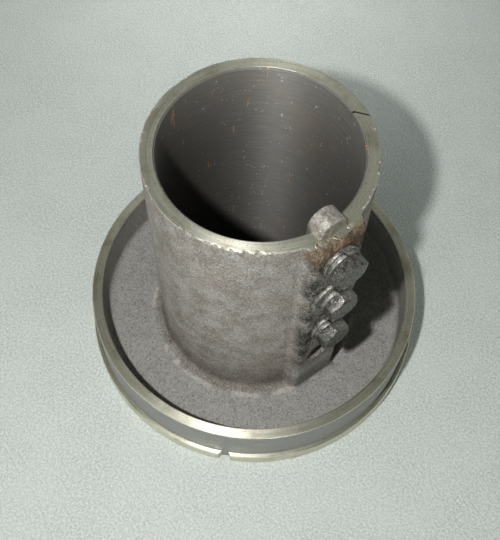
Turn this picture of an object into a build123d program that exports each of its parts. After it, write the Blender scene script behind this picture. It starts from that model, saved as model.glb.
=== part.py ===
from build123d import *
from math import cos, radians, tan
import os

# Keyed coupling sleeve: a cast tube in a shallow dished flange, with a parallel key drawn into its
# bore by hexagon bolts. It stands on its flange. The origin is the centre of the flange's underside,
# +Z runs up the bore, and +X runs out through the key, the boss and the bolts.

# Driving dimensions of the casting, in millimetres.
BORE_R = 50.0
TUBE_R = 57.15             # outside of a 4-inch pipe
TUBE_TOP = 171.3
FLANGE_R = 101.6           # an 8-inch flange
PLATE_T = 9.5              # flange plate, and so the height of the dish floor
RIM_OUT_R = 98.7           # spigot that a mating part slips over
RIM_IN_R = 92.65
RIM_TOP = 37.0
RELIEF_W = 0.8             # turned relief at the foot of the spigot
RELIEF_D = 0.6

FOOT_FILLET = 4.5          # tube and boss into the dish floor
DISH_FILLET = 5.0          # rim into the dish floor
EDGE_CHAMFER = 0.5         # broken corners of the turned edges
TOP_CORNER = 0.4           # broken outer corner of the top face
TOP_MOUTH_CHAMFER = 1.0
BASE_MOUTH_CHAMFER = 1.5

BOSS_FACE_X = 62.5
BOSS_W = 31.0
BOSS_CORNER_R = 4.0
BOSS_BLEND_R = 4.0         # boss into the tube
SHOULDER_R = 59.7          # the boss is turned down to this radius at the top face
SHOULDER_LOW_R = 64.2      # and falls away to this one
SHOULDER_DROP = 8.3
SHOULDER_CURVE_R = 12.0

NOTCH_ANGLE = -45.3        # locating notch in the edge of the flange
NOTCH_ROOT_W = 4.0
NOTCH_FLARE = 31.0         # degrees that each of its sides opens outwards

# Drive key, 16 x 10 x 140 with round ends, and its seat.
KEY_W = 16.0
KEY_T = 10.0
KEY_L = 140.0
KEY_TOP = TUBE_TOP + KEY_W / 2
KEY_OUTER_X = 55.9
KEY_INNER_X = KEY_OUTER_X - KEY_T
KEY_CHAMFER = 0.6
KEY_GAP = 0.05             # clearance on each side of the key

# Four bolt stations up the boss. The lowest one has no bolt.
STATION_PITCH = 35.0
STATIONS = [156.5 - STATION_PITCH * i for i in range(4)]
BOLTED_STATIONS = STATIONS[:3]
BOSS_HOLE_R = 8.25

# M10 x 20 bolts over a flat and a spring washer. Station 2 has a wide flat washer.
SHANK_R = 5.0
SHANK_L = 20.0
SHANK_CHAMFER = 1.0
THREAD_GAP = 0.05
HEAD_AF = 16.0
HEAD_H = 6.4
HEAD_FACE_R = 7.4          # flat left inside the chamfer of the head
HEAD_CHAMFER_ANGLE = 30.0
HEAD_TURNS = [8.0, 34.0, 35.0]
FLAT_WASHER_R = [10.0, 13.5, 10.0]
FLAT_WASHER_HOLE_R = 5.3
FLAT_WASHER_T = 2.0
FLAT_WASHER_CHAMFER = 0.4
SPRING_WASHER_R = 9.0
SPRING_WASHER_HOLE_R = 5.1
SPRING_WASHER_T = 2.2
SPLIT_W = 1.0
SPLIT_SLANT = 25.0
SPRING_FACE_X = BOSS_FACE_X + FLAT_WASHER_T
HEAD_SEAT_X = SPRING_FACE_X + SPRING_WASHER_T


def save(builder, name):
    """Labels a finished piece and writes its STEP file."""
    builder.part.label = name
    export_step(builder.part, f"parts/{name}.step")


def make_flanged_sleeve():
    """The casting: flange plate, spigot rim, tube and boss, with its bore, key seat and holes."""
    floor_r = RIM_IN_R - DISH_FILLET
    with BuildPart() as sleeve:
        # Half section of the dished flange, from the axis out along the base and back over the rim.
        with BuildSketch(Plane.XZ):
            with BuildLine():
                outer = Polyline(
                    (0, 0),
                    (FLANGE_R - EDGE_CHAMFER, 0),
                    (FLANGE_R, EDGE_CHAMFER),
                    (FLANGE_R, PLATE_T - EDGE_CHAMFER),
                    (FLANGE_R - EDGE_CHAMFER, PLATE_T),
                    (RIM_OUT_R + RELIEF_W, PLATE_T),
                    (RIM_OUT_R + RELIEF_W, PLATE_T - RELIEF_D),
                    (RIM_OUT_R, PLATE_T - RELIEF_D),
                    (RIM_OUT_R, RIM_TOP - EDGE_CHAMFER),
                    (RIM_OUT_R - EDGE_CHAMFER, RIM_TOP),
                    (RIM_IN_R + EDGE_CHAMFER, RIM_TOP),
                    (RIM_IN_R, RIM_TOP - EDGE_CHAMFER),
                    (RIM_IN_R, PLATE_T + DISH_FILLET),
                )
                dish = JernArc(outer @ 1, (0, -1), DISH_FILLET, -90)
                Polyline(dish @ 1, (0, PLATE_T), (0, 0))
            make_face()
        revolve(axis=Axis.Z)

        # The tube and the boss are one outline, so one fillet runs round the foot of both.
        with BuildSketch(Plane.XY.offset(PLATE_T)) as outline:
            Circle(TUBE_R)
            with Locations((BOSS_FACE_X / 2, 0)):
                Rectangle(BOSS_FACE_X, BOSS_W)
            fillet(outline.vertices().group_by(Axis.X)[-1], BOSS_CORNER_R)
            fillet(outline.vertices().group_by(Axis.X)[0], BOSS_BLEND_R)
        extrude(amount=TUBE_TOP - PLATE_T)
        foot = sleeve.edges().filter_by_position(Axis.Z, PLATE_T, PLATE_T)
        fillet(foot.filter_by(lambda edge: (edge @ 0.5).length < floor_r), FOOT_FILLET)
        chamfer(sleeve.faces().sort_by(Axis.Z)[-1].edges(), TOP_CORNER)

        # The boss rounds off below the turned top face.
        with BuildSketch(Plane.XZ):
            with BuildLine():
                high = (SHOULDER_R, TUBE_TOP)
                low = (SHOULDER_LOW_R, TUBE_TOP - SHOULDER_DROP)
                RadiusArc(high, low, SHOULDER_CURVE_R)
                Polyline(low, (FLANGE_R, TUBE_TOP - SHOULDER_DROP), (FLANGE_R, TUBE_TOP), high)
            make_face()
        revolve(axis=Axis.Z, mode=Mode.SUBTRACT)

        # Bore, with both of its mouths chamfered.
        with BuildSketch(Plane.XZ):
            with BuildLine():
                Polyline(
                    (0, 0),
                    (BORE_R + BASE_MOUTH_CHAMFER, 0),
                    (BORE_R, BASE_MOUTH_CHAMFER),
                    (BORE_R, TUBE_TOP - TOP_MOUTH_CHAMFER),
                    (BORE_R + TOP_MOUTH_CHAMFER, TUBE_TOP),
                    (0, TUBE_TOP),
                    close=True,
                )
            make_face()
        revolve(axis=Axis.Z, mode=Mode.SUBTRACT)

        # Key seat, open to the bore and through the top face, with a round foot.
        seat_x = BORE_R - KEY_T
        seat_l = 2 * KEY_L
        with BuildSketch(Plane.YZ.offset(seat_x)):
            with Locations((0, KEY_TOP - KEY_L - KEY_GAP + seat_l / 2)):
                SlotOverall(seat_l, KEY_W + 2 * KEY_GAP, rotation=90)
        extrude(amount=KEY_OUTER_X + KEY_GAP - seat_x, mode=Mode.SUBTRACT)

        # Bolt holes through the boss.
        with BuildSketch(Plane.YZ.offset(KEY_OUTER_X)):
            with Locations([(0, z) for z in STATIONS]):
                Circle(BOSS_HOLE_R)
        extrude(amount=KEY_T, mode=Mode.SUBTRACT)

        # Locating notch, from the spigot out through the edge of the flange.
        reach = 2 * (FLANGE_R - RIM_OUT_R)
        mouth_w = NOTCH_ROOT_W + 2 * reach * tan(radians(NOTCH_FLARE))
        with BuildSketch(Plane.XY.rotated((0, 0, NOTCH_ANGLE))):
            with BuildLine():
                Polyline(
                    (RIM_OUT_R, -NOTCH_ROOT_W / 2),
                    (RIM_OUT_R + reach, -mouth_w / 2),
                    (RIM_OUT_R + reach, mouth_w / 2),
                    (RIM_OUT_R, NOTCH_ROOT_W / 2),
                    close=True,
                )
            make_face()
        extrude(amount=PLATE_T, mode=Mode.SUBTRACT)
    return sleeve


def make_drive_key():
    """Parallel key with round ends, tapped at each bolt station."""
    with BuildPart() as key:
        with BuildSketch(Plane.YZ.offset(KEY_INNER_X)):
            with Locations((0, KEY_TOP - KEY_L / 2)):
                SlotOverall(KEY_L, KEY_W, rotation=90)
        extrude(amount=KEY_T)
        chamfer(key.faces().sort_by(Axis.X)[0].edges(), KEY_CHAMFER)
        chamfer(key.faces().sort_by(Axis.X)[-1].edges(), KEY_CHAMFER)
        with BuildSketch(Plane.YZ.offset(KEY_INNER_X)):
            with Locations([(0, z) for z in STATIONS]):
                Circle(SHANK_R + THREAD_GAP)
        extrude(amount=KEY_T, mode=Mode.SUBTRACT)
    return key


def make_flat_washer(z, radius):
    """Flat washer on the boss face, with its outer corner broken."""
    with BuildPart() as washer:
        with BuildSketch(Plane.YZ.offset(BOSS_FACE_X)):
            with Locations((0, z)):
                Circle(radius)
                Circle(FLAT_WASHER_HOLE_R, mode=Mode.SUBTRACT)
        extrude(amount=FLAT_WASHER_T)
        front = washer.faces().sort_by(Axis.X)[-1]
        chamfer(front.outer_wire().edges(), FLAT_WASHER_CHAMFER)
    return washer


def make_spring_washer(z):
    """Split lock washer, pressed flat, with a slanted split at its top."""
    with BuildPart() as washer:
        with BuildSketch(Plane.YZ.offset(SPRING_FACE_X)):
            with Locations((0, z)):
                Circle(SPRING_WASHER_R)
                Circle(SPRING_WASHER_HOLE_R, mode=Mode.SUBTRACT)
        extrude(amount=SPRING_WASHER_T)
        with BuildSketch(Plane.XY.offset(z)):
            with Locations((SPRING_FACE_X + SPRING_WASHER_T / 2, 0)):
                Rectangle(3 * SPRING_WASHER_T, SPLIT_W, rotation=SPLIT_SLANT)
        extrude(amount=2 * SPRING_WASHER_R, mode=Mode.SUBTRACT)
    return washer


def make_hex_bolt(z, turn):
    """Hexagon bolt, its head cut back by a cone at the corners, its head turned by this much."""
    corner_r = HEAD_AF / 2 / cos(radians(30))
    cone_depth = (corner_r - HEAD_FACE_R) * tan(radians(HEAD_CHAMFER_ANGLE))
    head_end_x = HEAD_SEAT_X + HEAD_H
    with BuildPart() as bolt:
        with BuildSketch(Plane.YZ.offset(HEAD_SEAT_X)):
            with Locations((0, z)):
                RegularPolygon(HEAD_AF / 2, 6, major_radius=False, rotation=turn)
        extrude(amount=HEAD_H)
        with BuildSketch(Plane.XZ):
            with BuildLine():
                Polyline(
                    (HEAD_SEAT_X, z),
                    (head_end_x, z),
                    (head_end_x, z + HEAD_FACE_R),
                    (head_end_x - cone_depth, z + corner_r),
                    (HEAD_SEAT_X, z + corner_r),
                    close=True,
                )
            make_face()
        revolve(axis=Axis((0, 0, z), (1, 0, 0)), mode=Mode.INTERSECT)
        with BuildSketch(Plane.YZ.offset(HEAD_SEAT_X)):
            with Locations((0, z)):
                Circle(SHANK_R)
        extrude(amount=-SHANK_L)
        chamfer(bolt.faces().sort_by(Axis.X)[0].edges(), SHANK_CHAMFER)
    return bolt


os.makedirs("parts", exist_ok=True)
save(make_flanged_sleeve(), "flanged_sleeve")
save(make_drive_key(), "drive_key")
for number, station in enumerate(BOLTED_STATIONS, start=1):
    save(make_flat_washer(station, FLAT_WASHER_R[number - 1]), f"flat_washer_{number}")
    save(make_spring_washer(station), f"spring_washer_{number}")
    save(make_hex_bolt(station, HEAD_TURNS[number - 1]), f"hex_bolt_{number}")
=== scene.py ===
"""Looks of the keyed coupling sleeve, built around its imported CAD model.

The casting is rebuilt as a dense turned grid, so that its cast skin, chipped corner and ragged foot are real
geometry. The key, bolts and washers are rebuilt from their CAD shapes with worn edges. Lengths are in metres.
"""

import math

import bmesh
import bpy
import numpy as np
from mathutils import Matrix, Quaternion, Vector, noise


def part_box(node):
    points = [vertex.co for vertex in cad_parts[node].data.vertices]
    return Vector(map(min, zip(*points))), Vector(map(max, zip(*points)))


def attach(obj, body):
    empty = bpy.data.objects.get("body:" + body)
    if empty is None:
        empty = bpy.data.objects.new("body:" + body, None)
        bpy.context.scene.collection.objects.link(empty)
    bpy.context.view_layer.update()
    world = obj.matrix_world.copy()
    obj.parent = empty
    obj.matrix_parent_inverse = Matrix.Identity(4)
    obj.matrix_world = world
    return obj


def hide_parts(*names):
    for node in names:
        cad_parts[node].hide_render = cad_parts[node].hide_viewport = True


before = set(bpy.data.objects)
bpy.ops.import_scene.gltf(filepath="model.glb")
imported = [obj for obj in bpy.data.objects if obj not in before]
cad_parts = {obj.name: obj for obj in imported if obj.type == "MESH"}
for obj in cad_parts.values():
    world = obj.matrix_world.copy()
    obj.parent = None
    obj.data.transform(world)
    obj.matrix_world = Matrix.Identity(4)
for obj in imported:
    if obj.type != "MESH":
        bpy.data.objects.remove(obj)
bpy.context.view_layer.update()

MM = 0.001

# The casting's section, as the CAD model has it.
BORE_R = 50.0 * MM
TUBE_R = 57.15 * MM
FLANGE_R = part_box("flanged_sleeve")[1].x
TUBE_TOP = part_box("flanged_sleeve")[1].z
PLATE_T = 9.5 * MM
RIM_OUT_R = 98.7 * MM
RIM_IN_R = 92.65 * MM
RIM_TOP = 37.0 * MM
RELIEF_W = 0.8 * MM
RELIEF_D = 0.6 * MM
FOOT_FILLET = 4.5 * MM
DISH_FILLET = 5.0 * MM
EDGE_CHAMFER = 0.5 * MM
TOP_CORNER = 0.4 * MM
TOP_MOUTH = 1.0 * MM
BASE_MOUTH = 1.5 * MM
BOSS_FACE_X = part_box("flat_washer_1")[0].x
BOSS_HALF_W = 15.5 * MM
BOSS_CORNER_R = 4.0 * MM
BOSS_BLEND_R = 4.0 * MM
SHOULDER_R = 59.7 * MM
SHOULDER_LOW_R = 64.2 * MM
SHOULDER_DROP = 8.3 * MM
SHOULDER_CURVE_R = 12.0 * MM
KEY_LOW, KEY_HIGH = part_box("drive_key")
KEY_GAP = 0.05 * MM
STATION_PITCH = 35.0 * MM
HOLE_R = 8.25 * MM
NOTCH_ANGLE = math.radians(-45.3)
NOTCH_ROOT_W = 4.0 * MM
NOTCH_FLARE = math.radians(31.0)
SCRIBE_START, SCRIBE_END = Vector((7.6, 50.2)) * MM, Vector((13.8, 55.2)) * MM

# The camera, looking steeply down at the object from about half a metre above the floor.
CAMERA_AT = Vector((185.47, -144.91, 484.09)) * MM
CAMERA_AIM = Vector((19.00, -18.14, 100.0)) * MM
CAMERA_ROLL = math.radians(2.03)
CAMERA_LENS = 54.95

# The main light stands a hand's breadth from the camera; the second one brightens the floor behind.
KEY_LIGHT_AT = Vector((136.0, -213.0, 509.0)) * MM
KEY_LIGHT_AIM = Vector((-120, 120, 0)) * MM
FLOOR_LIGHT_AT = Vector((-290, 190, 450)) * MM
FLOOR_LIGHT_AIM = Vector((-290, 190, 0)) * MM

# How the picture is shown. The curve's points are (tone in, tone out): it deepens the shadows a lot, and
# tones just above them a little.
EXPOSURE = 0.12
GAMMA = 0.85
SHADOW_CURVE = [(0.03, 0.017), (0.057, 0.039), (0.10, 0.082), (0.16, 0.148), (0.25, 0.246)]


# ---------------------------------------------------------------- camera, floor and lights

def add_camera():
    """The camera, rolled a little about its own line of sight."""
    camera = bpy.data.objects.new("camera", bpy.data.cameras.new("camera"))
    bpy.context.scene.collection.objects.link(camera)
    camera.data.lens = CAMERA_LENS
    camera.data.sensor_width = 36.0
    camera.data.clip_start = 0.01
    camera.data.clip_end = 20.0
    level = (CAMERA_AIM - CAMERA_AT).to_track_quat("-Z", "Y")
    camera.location = CAMERA_AT
    camera.rotation_mode = "QUATERNION"
    camera.rotation_quaternion = level @ Quaternion((0, 0, 1), CAMERA_ROLL)
    bpy.context.scene.camera = camera


def set_view():
    """Plain view transform, with a curve that deepens the darkest tones."""
    view = bpy.context.scene.view_settings
    view.view_transform = "Standard"
    view.exposure = EXPOSURE
    view.gamma = GAMMA
    view.use_curve_mapping = True
    curve = view.curve_mapping.curves[3]
    for tone_in, tone_out in SHADOW_CURVE:
        curve.points.new(tone_in, tone_out)
    view.curve_mapping.update()


def add_light(name, place, aim, size, power, spread=180.0):
    """A round soft light at a point, aimed at another, whose beam opens to this many degrees."""
    light = bpy.data.lights.new(name, "AREA")
    light.shape = "DISK"
    light.size = size
    light.energy = power
    light.spread = math.radians(spread)
    lamp = bpy.data.objects.new(name, light)
    bpy.context.scene.collection.objects.link(lamp)
    lamp.location = place
    lamp.rotation_mode = "QUATERNION"
    lamp.rotation_quaternion = (aim - place).to_track_quat("-Z", "Y")


def add_world(overhead, horizon):
    """Faintly cool light from all round, brighter towards the horizon."""
    world = bpy.data.worlds.new("studio")
    bpy.context.scene.world = world
    world.use_nodes = True
    nodes, links = world.node_tree.nodes, world.node_tree.links
    background = nodes["Background"]
    background.inputs["Color"].default_value = (0.96, 1.0, 0.97, 1.0)
    apart = nodes.new("ShaderNodeSeparateXYZ")
    fade = nodes.new("ShaderNodeMapRange")
    fade.interpolation_type = "SMOOTHSTEP"
    for name, value in (("From Min", 0.2), ("From Max", 0.85), ("To Min", horizon), ("To Max", overhead)):
        fade.inputs[name].default_value = value
    links.new(nodes.new("ShaderNodeTexCoord").outputs["Generated"], apart.inputs[0])
    links.new(apart.outputs["Z"], fade.inputs["Value"])
    links.new(fade.outputs["Result"], background.inputs["Strength"])


# ---------------------------------------------------------------- shader nodes

class Paint:
    """A material's node tree, with short calls for the nodes that are used here."""

    def __init__(self, name):
        self.material = bpy.data.materials.new(name)
        self.material.use_nodes = True
        self.tree = self.material.node_tree
        self.shader = self.tree.nodes["Principled BSDF"]
        self.here = self.add("ShaderNodeTexCoord").outputs["Object"]
        apart = self.add("ShaderNodeSeparateXYZ", {"Vector": self.here})
        self.x, self.y, self.z = apart.outputs
        radius_squared = self.math("ADD", self.times(self.x, self.x), self.times(self.y, self.y))
        self.radius = self.math("SQRT", radius_squared)

    def put(self, socket, value):
        """Links a socket to another one, or sets its value."""
        if isinstance(value, bpy.types.NodeSocket):
            self.tree.links.new(value, socket)
        else:
            socket.default_value = value

    def add(self, kind, inputs=None, **settings):
        node = self.tree.nodes.new(kind)
        for key, value in settings.items():
            setattr(node, key, value)
        for key, value in (inputs or {}).items():
            self.put(node.inputs[key], value)
        return node

    def math(self, operation, a, b=0.0):
        return self.add("ShaderNodeMath", {0: a, 1: b}, operation=operation).outputs[0]

    def times(self, a, b):
        return self.math("MULTIPLY", a, b)

    def step(self, value, low, high):
        """0 below low, 1 above high and smooth in between; high may be the lower one."""
        inputs = {"Value": value, "From Min": low, "From Max": high}
        return self.add("ShaderNodeMapRange", inputs, interpolation_type="SMOOTHSTEP").outputs["Result"]

    def within(self, value, low, high, soft):
        """1 from low to high, fading to 0 over soft on each side."""
        return self.times(self.step(value, low - soft, low), self.step(value, high + soft, high))

    def scale(self, value, low, high):
        """A 0 to 1 value taken to this range."""
        inputs = {"Value": value, "To Min": low, "To Max": high}
        return self.add("ShaderNodeMapRange", inputs).outputs["Result"]

    def mix(self, share, a, b):
        """Colour a, going over to b as share rises from 0 to 1."""
        node = self.add("ShaderNodeMix", data_type="RGBA")
        self.put(node.inputs["Factor"], share)
        for socket, value in ((node.inputs[6], a), (node.inputs[7], b)):
            self.put(socket, value if isinstance(value, bpy.types.NodeSocket) else (*value, 1.0))
        return node.outputs[2]

    def blend(self, share, a, b):
        """Number a, going over to b as share rises from 0 to 1."""
        node = self.add("ShaderNodeMix", data_type="FLOAT")
        for socket, value in ((node.inputs[0], share), (node.inputs[2], a), (node.inputs[3], b)):
            self.put(socket, value)
        return node.outputs[0]

    def noise(self, size, detail=2.0, rough=0.5, where=None):
        """Soft noise whose features are about this size."""
        inputs = {"Vector": where or self.here, "Scale": 1.0 / size, "Detail": detail, "Roughness": rough}
        return self.add("ShaderNodeTexNoise", inputs).outputs["Fac"]

    def grains(self, size):
        """Distance to the nearest of many scattered points, in grains of about this size."""
        return self.add("ShaderNodeTexVoronoi", {"Vector": self.here, "Scale": 1.0 / size}).outputs[0]

    def upright(self, squeeze):
        """Coordinates squeezed along the height, for upright streaks."""
        inputs = {0: self.here, 1: (1.0, 1.0, squeeze)}
        return self.add("ShaderNodeVectorMath", inputs, operation="MULTIPLY").outputs[0]

    def turned(self):
        """Coordinates that change along the radius and the axis but hardly round it, for tool marks."""
        around = self.times(self.math("ADD", self.x, self.y), 0.02)
        return self.add("ShaderNodeCombineXYZ", {"X": self.radius, "Y": self.z, "Z": around}).outputs[0]

    def bump(self, height, depth, normal=None):
        """Raises the surface by up to depth where height is 1."""
        inputs = {"Height": height, "Distance": depth, "Strength": 1.0}
        if normal is not None:
            inputs["Normal"] = normal
        return self.add("ShaderNodeBump", inputs).outputs["Normal"]

    def finish(self, colour, metallic, roughness, normal):
        values = {"Base Color": colour, "Metallic": metallic, "Roughness": roughness, "Normal": normal}
        for name, value in values.items():
            self.put(self.shader.inputs[name], value)
        return self.material


def casting_material():
    """Rough cast skin with rust, and turned, brighter faces on the bore, top, spigot and flange."""
    p = Paint("casting")
    coarse = p.noise(9 * MM, 4.0, 0.6)
    patch = p.noise(28 * MM, 3.0, 0.6)
    fine = p.noise(1.1 * MM, 3.0, 0.75)
    dust = p.noise(0.9 * MM, 1.0, 0.5)
    sand = p.grains(1.9 * MM)

    # Cast skin: grey with a brown cast and a little rust; the dish is greyer and paler than the tube.
    skin = p.mix(p.step(coarse, 0.30, 0.70), (0.222, 0.198, 0.174), (0.325, 0.308, 0.288))
    rust_here = p.times(p.step(patch, 0.50, 0.70), p.step(coarse, 0.42, 0.60))
    skin = p.mix(p.times(rust_here, 0.50), skin, (0.200, 0.140, 0.092))
    dish = p.times(p.step(p.z, 40 * MM, 30 * MM), p.step(p.radius, 60 * MM, 64 * MM))
    skin = p.mix(p.times(dish, 0.60), skin, (0.395, 0.398, 0.385))

    # The ragged toe of the tube is paler still.
    wavy = p.math("ADD", p.radius, p.times(coarse, 4 * MM))
    toe = p.times(p.within(wavy, 64.2 * MM, 66.2 * MM, 0.9 * MM), p.step(p.z, 13 * MM, 11 * MM))
    ragged = p.times(p.step(patch, 0.42, 0.54), p.step(coarse, 0.42, 0.54))
    skin = p.mix(p.times(toe, p.times(ragged, 0.75)), skin, (0.52, 0.49, 0.44))

    # Dark pits and pale grains over all of it; the pale specks are partly grain and partly painted glints of
    # the rough skin.
    skin = p.mix(p.times(p.step(fine, 0.50, 0.70), 0.50), skin, (0.56, 0.54, 0.51))
    skin = p.mix(p.times(p.step(fine, 0.48, 0.30), 0.62), skin, (0.070, 0.061, 0.052))
    grain_and_glint_here = p.times(p.step(sand, 0.30, 0.16), p.step(dust, 0.50, 0.60))
    skin = p.mix(p.times(grain_and_glint_here, 0.35), skin, (0.70, 0.69, 0.66))

    # Round the bolts the boss is dark with oil, and its shoulder is rusty.
    near_bolts = p.times(p.step(p.x, 54.5 * MM, 62.0 * MM), p.step(p.z, 32 * MM, 66 * MM))
    film = p.math("ADD", p.times(coarse, 0.5), p.times(fine, 0.5))
    oily = p.times(near_bolts, p.scale(p.step(film, 0.42, 0.58), 0.97, 0.30))
    skin = p.mix(oily, skin, (0.036, 0.034, 0.030))
    shoulder = p.times(p.step(p.x, 53.0 * MM, 58.0 * MM), p.step(p.z, 158 * MM, 165 * MM))
    rusty = p.mix(p.step(film, 0.40, 0.60), (0.075, 0.056, 0.041), (0.225, 0.165, 0.112))
    skin = p.mix(p.times(shoulder, 0.85), skin, rusty)

    # Turned surfaces, with a few drag marks and rust runs down the bore.
    marks = p.noise(0.42 * MM, 2.0, 0.6, p.turned())
    wide_marks = p.noise(2.4 * MM, 2.0, 0.5, p.turned())
    turned_metal = p.mix(p.step(marks, 0.30, 0.70), (0.520, 0.512, 0.420), (0.690, 0.682, 0.590))
    stain = p.step(p.noise(13 * MM, 4.0, 0.6), 0.48, 0.72)
    turned_metal = p.mix(p.times(stain, 0.45), turned_metal, (0.330, 0.285, 0.205))
    turned_metal = p.mix(p.times(p.step(fine, 0.42, 0.30), 0.55), turned_metal, (0.150, 0.130, 0.100))
    bore_metal = p.mix(p.step(marks, 0.30, 0.72), (0.168, 0.162, 0.150), (0.220, 0.213, 0.198))
    bore_metal = p.mix(p.times(p.step(patch, 0.50, 0.75), 0.45), bore_metal, (0.225, 0.195, 0.165))
    runs = p.noise(2.6 * MM, 1.0, 0.5, p.upright(0.14))
    bore_metal = p.mix(p.times(p.step(runs, 0.72, 0.78), 0.8), bore_metal, (0.480, 0.290, 0.150))
    # Pale specks in the bore as well, partly grain and partly painted glints.
    bore_metal = p.mix(p.times(grain_and_glint_here, p.step(coarse, 0.50, 0.62)), bore_metal, (0.60, 0.59, 0.56))
    wall_metal = p.mix(p.step(marks, 0.30, 0.72), (0.290, 0.287, 0.276), (0.370, 0.367, 0.352))
    wall_metal = p.mix(p.times(p.step(fine, 0.48, 0.34), 0.45), wall_metal, (0.120, 0.115, 0.105))

    in_bore = p.step(p.radius, BORE_R + 0.9 * MM, BORE_R + 0.4 * MM)
    on_top = p.step(p.z, TUBE_TOP - 0.20 * MM, TUBE_TOP - 0.05 * MM)
    rim_top = p.times(p.within(p.z, RIM_TOP - 0.30 * MM, RIM_TOP + 1 * MM, 0.10 * MM),
                     p.step(p.radius, 90 * MM, 91 * MM))
    rim_wall = p.times(p.step(p.radius, RIM_OUT_R - 0.5 * MM, RIM_OUT_R - 0.2 * MM),
                      p.within(p.z, PLATE_T + 0.5 * MM, RIM_TOP - 0.7 * MM, 0.2 * MM))
    flange = p.times(p.step(p.radius, RIM_OUT_R + 0.1 * MM, RIM_OUT_R + 0.3 * MM),
                    p.step(p.z, PLATE_T + 0.7 * MM, PLATE_T + 0.4 * MM))
    underside = p.step(p.z, 0.4 * MM, 0.1 * MM)
    faces = p.math("MAXIMUM", p.math("MAXIMUM", on_top, rim_top), p.math("MAXIMUM", flange, underside))
    machined = p.math("MAXIMUM", p.math("MAXIMUM", faces, in_bore), rim_wall)

    colour = p.mix(rim_wall, skin, wall_metal)
    colour = p.mix(faces, colour, turned_metal)
    colour = p.mix(in_bore, colour, bore_metal)

    # The scribed line on the top face is painted near black, in a band a little wider than the groove:
    # painted shade of the groove.
    across = (SCRIBE_END - SCRIBE_START).normalized().orthogonal()
    offset = p.math("ADD", p.times(p.x, across.x), p.times(p.y, across.y))
    offset = p.math("ABSOLUTE", p.math("SUBTRACT", offset, across.dot(SCRIBE_START)))
    along_it = p.within(p.x, SCRIBE_START.x, SCRIBE_END.x, MM)
    near_it = p.times(p.step(p.y, 45 * MM, 48 * MM), p.step(p.z, 165 * MM, 170 * MM))
    scribe_painted_shade = p.times(p.times(p.step(offset, 0.65 * MM, 0.35 * MM), along_it), near_it)
    colour = p.mix(scribe_painted_shade, colour, (0.030, 0.026, 0.022))

    metallic = p.blend(in_bore, p.blend(machined, 0.10, 0.40), 0.30)
    # The painted shade of the scribed line has no metal gloss.
    metallic = p.blend(faces, metallic, p.blend(scribe_painted_shade, 0.90, 0.0))
    skin_rough = p.scale(coarse, 0.55, 0.80)
    metal_rough = p.blend(in_bore, p.scale(wide_marks, 0.34, 0.56), p.scale(wide_marks, 0.62, 0.74))
    roughness = p.blend(machined, skin_rough, metal_rough)

    cast = p.math("SUBTRACT", 1.0, machined)
    grit = p.math("ADD", p.times(fine, 0.7), p.times(dust, 0.3))
    normal = p.bump(p.times(grit, cast), 1.0 * MM)
    normal = p.bump(p.times(marks, machined), 0.05 * MM, normal)

    # The tool marks run round the axis, so they spread the light across themselves.
    tangent = p.add("ShaderNodeTangent", direction_type="RADIAL", axis="Z").outputs[0]
    p.put(p.shader.inputs["Tangent"], tangent)
    p.put(p.shader.inputs["Anisotropic"], p.blend(in_bore, 0.7, 0.88))
    p.shader.inputs["Anisotropic Rotation"].default_value = 0.25
    return p.finish(colour, metallic, roughness, normal)


def steel_material(name, metallic, dark, light, rough, oil):
    """Worn steel: a dark, uneven oil film over brighter metal, with fine scratches and bright specks."""
    p = Paint(name)
    film = p.noise(2.4 * MM, 4.0, 0.7)
    fine = p.noise(0.9 * MM, 2.0, 0.6)
    scratch = p.noise(0.5 * MM, 2.0, 0.6, p.upright(0.10))
    colour = p.mix(p.step(film, 0.34, 0.68), dark, light)
    colour = p.mix(p.times(p.step(film, 0.60, 0.74), oil), colour, (0.030, 0.028, 0.024))
    colour = p.mix(p.times(p.step(scratch, 0.60, 0.72), 0.40), colour, (0.60, 0.59, 0.56))
    colour = p.mix(p.times(p.step(fine, 0.60, 0.70), 0.60), colour, (0.62, 0.61, 0.58))
    roughness = p.blend(p.step(film, 0.30, 0.70), rough - 0.10, rough + 0.12)
    height = p.math("ADD", p.times(fine, 0.6), p.times(scratch, 0.4))
    normal = p.bump(height, 0.22 * MM)
    return p.finish(colour, metallic, roughness, normal)


def floor_material():
    """Plain pale matt sheet with a fine, slightly sparkling grain."""
    p = Paint("floor")
    grain = p.noise(1.3 * MM, 3.0, 0.8)
    wide = p.noise(45 * MM, 3.0, 0.6)
    colour = p.mix(p.step(grain, 0.32, 0.68), (0.420, 0.452, 0.424), (0.680, 0.710, 0.684))
    colour = p.mix(p.times(p.step(wide, 0.35, 0.65), 0.25), colour, (0.640, 0.668, 0.644))
    return p.finish(colour, 0.0, p.scale(wide, 0.6, 0.8), p.bump(grain, 0.8 * MM))


# ---------------------------------------------------------------- mesh helpers

def new_object(name, mesh):
    made = bpy.data.objects.new(name, mesh)
    bpy.context.scene.collection.objects.link(made)
    return made


def apply_modifiers(made):
    """Bakes an object's modifiers into its mesh."""
    bpy.context.view_layer.update()
    graph = bpy.context.evaluated_depsgraph_get()
    mesh = bpy.data.meshes.new_from_object(made.evaluated_get(graph))
    made.modifiers.clear()
    made.data = mesh


def shade(made, sharp_angle):
    """Smooth shading, with edges sharper than this left sharp."""
    made.data.shade_smooth()
    made.data.set_sharp_from_angle(angle=math.radians(sharp_angle))


def prism(name, outline, axis, low, high):
    """A closed prism: an outline of (a, b) points in the plane across axis, from low to high along it."""
    def place(a, b, along):
        return Vector((along, a, b)) if axis == "X" else Vector((a, b, along))

    mesh = bmesh.new()
    ends = [[mesh.verts.new(place(a, b, along)) for a, b in outline] for along in (low, high)]
    mesh.faces.new(ends[0])
    mesh.faces.new(ends[1])
    for i in range(len(outline)):
        j = (i + 1) % len(outline)
        mesh.faces.new((ends[0][i], ends[0][j], ends[1][j], ends[1][i]))
    bmesh.ops.recalc_face_normals(mesh, faces=mesh.faces)
    data = bpy.data.meshes.new(name)
    mesh.to_mesh(data)
    mesh.free()
    return new_object(name, data)


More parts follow.
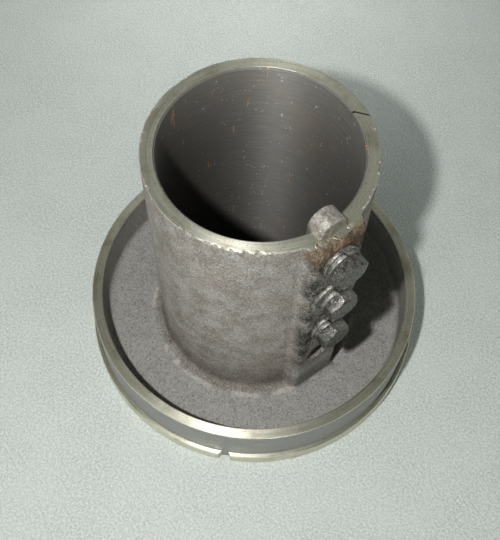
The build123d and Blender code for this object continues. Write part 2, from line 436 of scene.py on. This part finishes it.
def arc_points(centre_a, centre_b, radius, start, end, steps):
    """Points on an arc, angles in degrees, both ends included."""
    turns = [math.radians(start + (end - start) * i / steps) for i in range(steps + 1)]
    return [(centre_a + radius * math.cos(t), centre_b + radius * math.sin(t)) for t in turns]


def cut(made, cutter):
    """Takes the cutter's volume away and removes the cutter."""
    boolean = made.modifiers.new("cut", "BOOLEAN")
    boolean.operation = "DIFFERENCE"
    boolean.solver = "MANIFOLD"
    boolean.object = cutter
    apply_modifiers(made)
    bpy.data.objects.remove(cutter)


# ---------------------------------------------------------------- the casting

BOSS_SPAN = math.radians(24.0)     # the angles that take finer steps, each side of the boss's middle
FINE_STEPS = 120
COARSE_STEPS = 300


def ring_angles():
    """Angles round the axis, closer together across the boss."""
    fine = np.linspace(-BOSS_SPAN, BOSS_SPAN, FINE_STEPS, endpoint=False)
    coarse = np.linspace(BOSS_SPAN, 2 * math.pi - BOSS_SPAN, COARSE_STEPS, endpoint=False)
    return np.concatenate([fine, coarse])


def boss_outline(angles):
    """Radius of the outline of tube and boss at each angle: face, round corner, side, blend, tube."""
    turn = np.abs((angles + math.pi) % (2 * math.pi) - math.pi)
    corner_x, corner_y = BOSS_FACE_X - BOSS_CORNER_R, BOSS_HALF_W - BOSS_CORNER_R
    blend_y = BOSS_HALF_W + BOSS_BLEND_R
    blend_x = math.sqrt((TUBE_R + BOSS_BLEND_R) ** 2 - blend_y**2)

    def to_circle(x, y, radius, side):
        toward = x * np.cos(turn) + y * np.sin(turn)
        return toward + side * np.sqrt(np.maximum(toward**2 - x**2 - y**2 + radius**2, 0.0))

    ends = [math.atan2(corner_y, BOSS_FACE_X), math.atan2(BOSS_HALF_W, corner_x),
            math.atan2(BOSS_HALF_W, blend_x), math.atan2(blend_y, blend_x)]
    radii = [BOSS_FACE_X / np.maximum(np.cos(turn), 0.1), to_circle(corner_x, corner_y, BOSS_CORNER_R, 1),
             BOSS_HALF_W / np.maximum(np.sin(turn), 0.1), to_circle(blend_x, blend_y, BOSS_BLEND_R, -1)]
    return np.select([turn <= end for end in ends], radii, TUBE_R)


def shoulder_radius(height):
    """Radius that the boss's rounded shoulder allows at this height."""
    low, high = Vector((SHOULDER_LOW_R, TUBE_TOP - SHOULDER_DROP)), Vector((SHOULDER_R, TUBE_TOP))
    chord = high - low
    middle = (low + high) / 2
    inward = Vector((-chord.y, chord.x)).normalized()
    centre = middle + inward * math.sqrt(SHOULDER_CURVE_R**2 - (chord.length / 2) ** 2)
    if height <= low.y:
        return FLANGE_R
    return centre.x + math.sqrt(SHOULDER_CURVE_R**2 - (height - centre.y) ** 2)


def casting_rings(outline):
    """The closed section as rings: (radii, heights, how rough the cast skin is there)."""
    rings = []

    def line(start, end, steps, rough=0.0):
        """Rings from start towards end, which the next stretch begins with."""
        for i in range(steps):
            t = i / steps
            rings.append((start[0] + (end[0] - start[0]) * t, start[1] + (end[1] - start[1]) * t, rough))

    def arc(centre, radius, start, end, steps, rough):
        for i in range(steps):
            turn = math.radians(start + (end - start) * i / steps)
            rings.append((centre[0] + radius * math.cos(turn), centre[1] + radius * math.sin(turn), rough))

    top_r = np.minimum(outline, SHOULDER_R)
    floor_r = RIM_IN_R - DISH_FILLET
    line((BORE_R + BASE_MOUTH, 0.0), (BORE_R, BASE_MOUTH), 2)
    line((BORE_R, BASE_MOUTH), (BORE_R, TUBE_TOP - TOP_MOUTH), 30)
    line((BORE_R, TUBE_TOP - TOP_MOUTH), (BORE_R + TOP_MOUTH, TUBE_TOP), 2)
    line((BORE_R + TOP_MOUTH, TUBE_TOP), (top_r - TOP_CORNER, TUBE_TOP), 6)
    line((top_r - TOP_CORNER, TUBE_TOP), (top_r, TUBE_TOP - TOP_CORNER), 1)
    foot_z = PLATE_T + FOOT_FILLET
    for height in np.concatenate([np.linspace(TUBE_TOP - TOP_CORNER, TUBE_TOP - 4 * MM, 6)[:-1],
                                  np.linspace(TUBE_TOP - 4 * MM, foot_z, 108)[:-1]]):
        rings.append((np.minimum(outline, shoulder_radius(height)), height, 1.0))
    arc((outline + FOOT_FILLET, foot_z), FOOT_FILLET, 180, 270, 7, 1.2)
    line((outline + FOOT_FILLET, PLATE_T), (floor_r, PLATE_T), 22, 1.0)
    arc((floor_r, PLATE_T + DISH_FILLET), DISH_FILLET, -90, 0, 7, 1.0)
    line((RIM_IN_R, PLATE_T + DISH_FILLET), (RIM_IN_R, RIM_TOP - EDGE_CHAMFER), 16, 0.8)
    line((RIM_IN_R, RIM_TOP - EDGE_CHAMFER), (RIM_IN_R + EDGE_CHAMFER, RIM_TOP), 1)
    line((RIM_IN_R + EDGE_CHAMFER, RIM_TOP), (RIM_OUT_R - EDGE_CHAMFER, RIM_TOP), 4)
    line((RIM_OUT_R - EDGE_CHAMFER, RIM_TOP), (RIM_OUT_R, RIM_TOP - EDGE_CHAMFER), 1)
    line((RIM_OUT_R, RIM_TOP - EDGE_CHAMFER), (RIM_OUT_R, PLATE_T - RELIEF_D), 10)
    line((RIM_OUT_R, PLATE_T - RELIEF_D), (RIM_OUT_R + RELIEF_W, PLATE_T - RELIEF_D), 1)
    line((RIM_OUT_R + RELIEF_W, PLATE_T - RELIEF_D), (RIM_OUT_R + RELIEF_W, PLATE_T), 1)
    line((RIM_OUT_R + RELIEF_W, PLATE_T), (FLANGE_R - EDGE_CHAMFER, PLATE_T), 2)
    line((FLANGE_R - EDGE_CHAMFER, PLATE_T), (FLANGE_R, PLATE_T - EDGE_CHAMFER), 1)
    line((FLANGE_R, PLATE_T - EDGE_CHAMFER), (FLANGE_R, EDGE_CHAMFER), 5)
    line((FLANGE_R, EDGE_CHAMFER), (FLANGE_R - EDGE_CHAMFER, 0.0), 1)
    line((FLANGE_R - EDGE_CHAMFER, 0.0), (BORE_R + BASE_MOUTH, 0.0), 10)
    return rings


def casting_grid():
    """The casting before its cuts, as a closed grid, with each point's skin roughness."""
    angles = ring_angles()
    rings = casting_rings(boss_outline(angles))
    count = len(angles)
    points, rough = [], []
    for radii, height, ring_rough in rings:
        radii = np.broadcast_to(radii, angles.shape)
        ring = [radii * np.cos(angles), radii * np.sin(angles), np.full(count, height)]
        points.append(np.stack(ring, axis=1))
        rough.append(np.full(count, ring_rough))
    faces = []
    for i in range(len(rings)):
        a, b = i * count, (i + 1) % len(rings) * count
        faces += [(a + j, b + j, b + (j + 1) % count, a + (j + 1) % count) for j in range(count)]
    mesh = bpy.data.meshes.new("casting")
    mesh.from_pydata(np.concatenate(points).tolist(), [], faces)
    mesh.update()
    return mesh, np.concatenate(rough)


def skin_height(point):
    """How far the cast skin stands proud at a point: broad waves, sand grains and a few pits."""
    wave = noise.noise(point / (11 * MM)) * 0.10
    grain = noise.noise(point / (2.6 * MM) + Vector((7, 3, 1))) * 0.10
    fine = noise.noise(point / (1.5 * MM) + Vector((1, 9, 4))) * 0.06
    pit = max(0.0, noise.noise(point / (4.5 * MM) + Vector((2, 5, 8))) - 0.45) * 0.9
    return (wave + grain + fine - pit) * MM


def roughen(mesh, rough):
    """Moves the points of the cast skin along their normals, raises the toe and chips the top corner."""
    toe_r = TUBE_R + FOOT_FILLET
    places = [vertex.co.copy() for vertex in mesh.vertices]
    normals = [vertex.normal.copy() for vertex in mesh.vertices]
    moved = []
    for point, normal, share in zip(places, normals, rough):
        radius = math.hypot(point.x, point.y)
        change = Vector((0, 0, 0))
        if share:
            flat_face = point.x > BOSS_FACE_X - 0.1 * MM and abs(point.y) < BOSS_HALF_W
            change += normal * skin_height(point) * share * (0.15 if flat_face else 1.0)
        near_toe = max(0.0, 1 - abs(radius - toe_r - 1.0 * MM) / (3.5 * MM))
        if near_toe and PLATE_T - MM < point.z < PLATE_T + 2 * MM:
            lump = max(0.0, noise.noise(point / (3.4 * MM)) + 0.25)
            change.z += near_toe * lump * 0.9 * MM
        corner = max(0.0, 1 - (TUBE_TOP - point.z) / (2.2 * MM))
        if corner and radius > TUBE_R - 0.6 * MM:
            stretch = max(0.0, noise.noise(point / (17 * MM) + Vector((5, 1, 6))) + 0.25)
            chip = max(0.0, noise.noise(point / (2.1 * MM) + Vector((3, 3, 3))))
            outward = Vector((point.x, point.y, 0)).normalized()
            change -= (outward * 0.8 + Vector((0, 0, 0.6))) * chip * stretch * corner * 2.4 * MM
        moved.extend(point + change)
    mesh.vertices.foreach_set("co", moved)
    mesh.update()


def cut_key_seat(made):
    """The key's slot in the bore, open through the top and round at its foot."""
    half_w = (KEY_HIGH.y - KEY_LOW.y) / 2 + KEY_GAP
    foot_z = KEY_LOW.z - KEY_GAP + half_w
    outline = [(half_w, 1.2 * TUBE_TOP), (-half_w, 1.2 * TUBE_TOP)]
    outline += arc_points(0.0, foot_z, half_w, 180, 360, 24)
    cut(made, prism("key_seat", outline, "X", 0.8 * BORE_R, KEY_HIGH.x + KEY_GAP))


def cut_bolt_holes(made):
    """The four holes through the boss. The lowest one, with no bolt, is one pitch under the third."""
    lowest = sum((corner.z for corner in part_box("hex_bolt_3")), 0.0) / 2 - STATION_PITCH
    for i in range(4):
        outline = arc_points(0.0, lowest + i * STATION_PITCH, HOLE_R, 0, 360, 40)[:-1]
        cut(made, prism("bolt_hole", outline, "X", KEY_HIGH.x, BOSS_FACE_X + BOSS_CORNER_R))


def cut_notch(made):
    """The locating notch in the flange's edge, wider outwards."""
    out = Vector((math.cos(NOTCH_ANGLE), math.sin(NOTCH_ANGLE)))
    side = Vector((-out.y, out.x))
    reach = 2 * (FLANGE_R - RIM_OUT_R)
    mouth = NOTCH_ROOT_W / 2 + reach * math.tan(NOTCH_FLARE)
    corners = [out * RIM_OUT_R - side * NOTCH_ROOT_W / 2, out * (RIM_OUT_R + reach) - side * mouth,
               out * (RIM_OUT_R + reach) + side * mouth, out * RIM_OUT_R + side * NOTCH_ROOT_W / 2]
    cut(made, prism("notch", [(c.x, c.y) for c in corners], "Z", -MM, PLATE_T + MM))


def cut_scribe(made):
    """The fitter's scratch across the top face."""
    side = (SCRIBE_END - SCRIBE_START).normalized().orthogonal() * 0.4 * MM
    corners = [SCRIBE_START - side, SCRIBE_END - side, SCRIBE_END + side, SCRIBE_START + side]
    cut(made, prism("scribe", [(c.x, c.y) for c in corners], "Z", TUBE_TOP - 0.5 * MM, TUBE_TOP + MM))


def build_casting():
    mesh, rough = casting_grid()
    roughen(mesh, rough)
    made = new_object("sleeve_casting", mesh)
    cut_key_seat(made)
    cut_bolt_holes(made)
    cut_notch(made)
    cut_scribe(made)
    shade(made, 38)
    made.data.materials.clear()
    made.data.materials.append(casting_material())
    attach(made, "sleeve")
    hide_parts("flanged_sleeve")


# ---------------------------------------------------------------- key, bolts and washers

def rebuilt(node, name, edge, material, body):
    """A piece with a CAD node's shape, its flat faces made whole again and its edges worn round."""
    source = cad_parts[node].data
    mesh = bmesh.new()
    mesh.from_mesh(source)
    bmesh.ops.remove_doubles(mesh, verts=mesh.verts, dist=0.002 * MM)
    bmesh.ops.dissolve_limit(mesh, angle_limit=math.radians(0.5), verts=mesh.verts, edges=mesh.edges)
    data = bpy.data.meshes.new(name)
    mesh.to_mesh(data)
    mesh.free()
    made = new_object(name, data)
    bevel = made.modifiers.new("worn", "BEVEL")
    bevel.width = edge
    bevel.segments = 3
    bevel.limit_method = "ANGLE"
    bevel.angle_limit = math.radians(24)
    bevel.use_clamp_overlap = True
    apply_modifiers(made)
    shade(made, 50)
    made.data.materials.clear()
    made.data.materials.append(material)
    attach(made, body)
    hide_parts(node)


def build_fittings():
    key_steel = steel_material("key_steel", metallic=0.45, dark=(0.190, 0.170, 0.148),
                               light=(0.330, 0.312, 0.282), rough=0.50, oil=0.30)
    bolt_steel = steel_material("bolt_steel", metallic=0.60, dark=(0.105, 0.101, 0.092),
                                light=(0.165, 0.160, 0.149), rough=0.30, oil=0.25)
    washer_steel = steel_material("washer_steel", metallic=0.55, dark=(0.110, 0.105, 0.094),
                                  light=(0.300, 0.293, 0.274), rough=0.38, oil=0.5)
    rebuilt("drive_key", "key", 0.25 * MM, key_steel, "key")
    for n in (1, 2, 3):
        rebuilt(f"hex_bolt_{n}", f"bolt_{n}", 0.22 * MM, bolt_steel, f"bolt_{n}")
        rebuilt(f"flat_washer_{n}", f"washer_{n}", 0.15 * MM, washer_steel, "sleeve")
        rebuilt(f"spring_washer_{n}", f"lock_washer_{n}", 0.15 * MM, washer_steel, "sleeve")


def build_floor():
    reach = 2.5
    corners = [(-reach, -reach, 0), (reach, -reach, 0), (reach, reach, 0), (-reach, reach, 0)]
    mesh = bpy.data.meshes.new("floor")
    mesh.from_pydata(corners, [], [(0, 1, 2, 3)])
    floor = new_object("floor", mesh)
    floor.data.materials.append(floor_material())


set_view()
add_camera()
add_world(overhead=0.11, horizon=1.0)
add_light("key_light", KEY_LIGHT_AT, KEY_LIGHT_AIM, size=0.022, power=2.5)
add_light("floor_light", FLOOR_LIGHT_AT, FLOOR_LIGHT_AIM, size=0.30, power=0.16, spread=60.0)
build_floor()
build_casting()
build_fittings()
